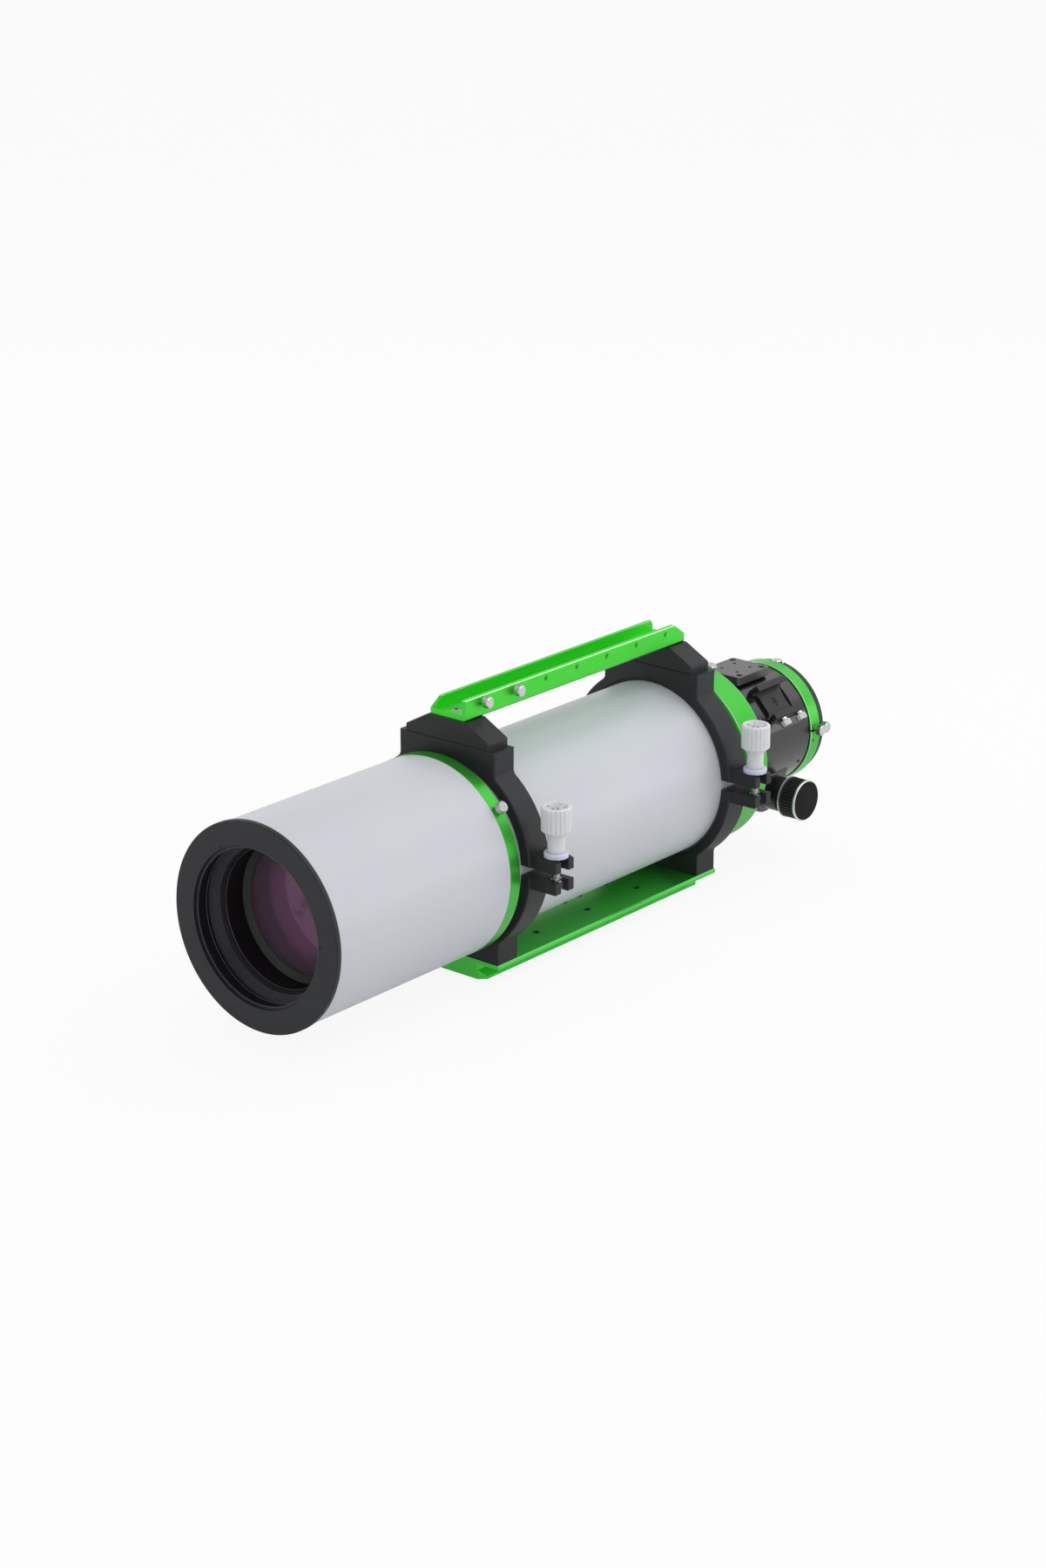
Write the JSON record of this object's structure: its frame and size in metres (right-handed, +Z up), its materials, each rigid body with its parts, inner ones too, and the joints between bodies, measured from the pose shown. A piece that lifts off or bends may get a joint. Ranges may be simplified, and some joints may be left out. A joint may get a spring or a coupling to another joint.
{
  "type": "refractor telescope",
  "caption": "Refractor telescope tube in hinged clamp rings, with a sliding dew shield, dovetail plate, channel handle bar and a rotating rack-and-pinion focuser.",
  "frame": {"origin": "centre of the dovetail plate's bottom face", "axes": "+Y along the optical axis from the sky end to the eyepiece end, +X towards the clamp knobs, +Z up"},
  "size_m": [0.219, 0.6763, 0.2352],
  "materials": {
    "white_paint": "smooth pale grey-white paint on aluminium",
    "charcoal": "matte charcoal powder coat on aluminium",
    "green_anodised": "bright green satin anodising",
    "black_gloss": "gloss black paint on aluminium",
    "black_anodised": "satin black anodising",
    "flat_black": "flat black paint on aluminium",
    "chrome": "polished plating",
    "steel": "plain steel",
    "knob_white": "milky white plastic",
    "washer_white": "lilac-white plastic",
    "rubber_grip": "ribbed black rubber",
    "silver_trim": "bright turned",
    "glass": "coated optical glass with a purple reflection",
    "felt": "black felt",
    "brass": "turned",
    "bush_plastic": "low-friction plastic"
  },
  "bodies": {
    "tube": {"main_tube": "white_paint", "baffle_rings": "flat_black", "objective_cell": "flat_black", "cell_front_ring": "black_anodised", "retaining_ring": "flat_black", "front_lens": "glass", "middle_lens": "glass", "rear_lens": "glass", "lens_spacers": "flat_black", "shield_guide_felts": "felt", "front_ring_base": "charcoal", "rear_ring_base": "charcoal", "front_ring_lid": "charcoal", "rear_ring_lid": "charcoal", "ring_felts": "felt", "ring_pins": "black_anodised", "dovetail_plate": "green_anodised", "ring_screws": "steel", "top_bar": "green_anodised", "tail_ring": "green_anodised"},
    "dew_shield": {"dew_shield_tube": "white_paint", "dew_shield_lip": "charcoal", "dew_shield_band": "green_anodised"},
    "shield_lock": {"shield_lock_screw": "chrome"},
    "front_bolt": {"front_swing_bolt": "steel"},
    "rear_bolt": {"rear_swing_bolt": "steel"},
    "front_knob": {"front_clamp_knob": "knob_white", "front_clamp_washer": "washer_white"},
    "rear_knob": {"rear_clamp_knob": "knob_white", "rear_clamp_washer": "washer_white"},
    "bar_screw_front": {"bar_thumbscrew_front": "chrome"},
    "bar_screw_rear": {"bar_thumbscrew_rear": "chrome"},
    "rotation_lock": {"rotation_lock_screw": "chrome"},
    "focuser": {"focuser_adapter": "black_gloss", "focuser_body": "black_gloss", "rotation_collar": "black_anodised", "accessory_plate": "black_anodised", "focuser_screws": "black_anodised", "finder_shoe": "black_anodised", "drawtube_bushes": "bush_plastic", "pinion_housing": "black_gloss", "pinion_bushes": "brass"},
    "finder_screw_a": {"finder_screw_front": "chrome"},
    "finder_screw_b": {"finder_screw_rear": "chrome"},
    "focus_lock": {"focus_lock_screw": "chrome"},
    "drawtube": {"drawtube": "black_anodised", "rack": "steel", "rotator_ring": "green_anodised", "end_ring": "black_anodised", "compression_ring": "brass"},
    "eyepiece_screw_side": {"end_screw_side": "chrome"},
    "eyepiece_screw_rear": {"end_screw_rear": "chrome"},
    "eyepiece_screw_top": {"end_screw_top": "chrome"},
    "coarse_focus": {"pinion_shaft": "steel", "right_knob_core": "silver_trim", "right_knob_grip": "rubber_grip", "right_knob_cap": "black_anodised", "left_knob_core": "silver_trim", "left_knob_grip": "rubber_grip"},
    "fine_focus": {"fine_knob": "silver_trim"}
  },
  "joints": [
    {"name": "dew_shield_slide", "type": "slide", "parent": "tube", "child": "dew_shield", "axis": [0, -1, 0], "range_m": [0, 0.125]},
    {"name": "shield_lock_turn", "type": "hinge", "parent": "dew_shield", "child": "shield_lock", "pos_m": [0.06613, -0.16015, 0.15856], "axis": [0.7771, 0, 0.6293], "range_deg": [0, 360]},
    {"name": "front_clamp_swing", "type": "hinge", "parent": "tube", "child": "front_bolt", "pos_m": [0.1042, -0.1332, 0.0968], "axis": [0, 1, 0], "range_deg": [0, 110]},
    {"name": "front_clamp_turn", "type": "hinge", "parent": "front_bolt", "child": "front_knob", "pos_m": [0.1042, -0.1332, 0.135], "axis": [0, 0, 1], "continuous": true},
    {"name": "rear_clamp_swing", "type": "hinge", "parent": "tube", "child": "rear_bolt", "pos_m": [0.1042, 0.1332, 0.0968], "axis": [0, 1, 0], "range_deg": [0, 110]},
    {"name": "rear_clamp_turn", "type": "hinge", "parent": "rear_bolt", "child": "rear_knob", "pos_m": [0.1042, 0.1332, 0.135], "axis": [0, 0, 1], "continuous": true},
    {"name": "bar_screw_front_turn", "type": "hinge", "parent": "tube", "child": "bar_screw_front", "pos_m": [0.0186, -0.122, 0.23], "axis": [1, 0, 0], "range_deg": [0, 360]},
    {"name": "bar_screw_rear_turn", "type": "hinge", "parent": "tube", "child": "bar_screw_rear", "pos_m": [0.0186, -0.0822, 0.23], "axis": [1, 0, 0], "range_deg": [0, 360]},
    {"name": "rotation_lock_turn", "type": "hinge", "parent": "tube", "child": "rotation_lock", "pos_m": [0.02309, 0.175, 0.18295], "axis": [0.284, 0, 0.9588], "range_deg": [0, 360]},
    {"name": "focuser_rotation", "type": "hinge", "parent": "tube", "child": "focuser", "pos_m": [0, 0.18, 0.105], "axis": [0, 1, 0], "continuous": true},
    {"name": "drawtube_slide", "type": "slide", "parent": "focuser", "child": "drawtube", "axis": [0, 1, 0], "range_m": [0, 0.08]},
    {"name": "coarse_focus_turn", "type": "hinge", "parent": "focuser", "child": "coarse_focus", "pos_m": [0, 0.2428, 0.0595], "axis": [1, 0, 0], "range_deg": [-820, 0]},
    {"name": "fine_focus_turn", "type": "hinge", "parent": "focuser", "child": "fine_focus", "pos_m": [-0.08, 0.2428, 0.0595], "axis": [1, 0, 0], "range_deg": [-9010, 0]},
    {"name": "finder_screw_a_turn", "type": "hinge", "parent": "focuser", "child": "finder_screw_a", "pos_m": [0.05767, 0.2377, 0.13271], "axis": [0.6691, 0, -0.7431], "range_deg": [0, 360]},
    {"name": "finder_screw_b_turn", "type": "hinge", "parent": "focuser", "child": "finder_screw_b", "pos_m": [0.05767, 0.2607, 0.13271], "axis": [0.6691, 0, -0.7431], "range_deg": [0, 360]},
    {"name": "focus_lock_turn", "type": "hinge", "parent": "focuser", "child": "focus_lock", "pos_m": [-0.017, 0.2508, 0.0438], "axis": [0, 0, -1], "range_deg": [0, 360]},
    {"name": "eyepiece_screw_side_turn", "type": "hinge", "parent": "drawtube", "child": "eyepiece_screw_side", "pos_m": [0.05542, 0.292, 0.10791], "axis": [0.9986, 0, 0.0523], "range_deg": [0, 360]},
    {"name": "eyepiece_screw_rear_turn", "type": "hinge", "parent": "drawtube", "child": "eyepiece_screw_rear", "pos_m": [0.05343, 0.3022, 0.1078], "axis": [0.9986, 0, 0.0523], "range_deg": [0, 360]},
    {"name": "eyepiece_screw_top_turn", "type": "hinge", "parent": "drawtube", "child": "eyepiece_screw_top", "pos_m": [0.00331, 0.3022, 0.15238], "axis": [0.0698, 0, 0.9976], "range_deg": [0, 360]}
  ],
  "couplings": [
    {"joint": "coarse_focus_turn", "follows": "drawtube_slide", "rad_per_m": -178.57},
    {"joint": "fine_focus_turn", "follows": "drawtube_slide", "rad_per_m": -1964.3}
  ]
}
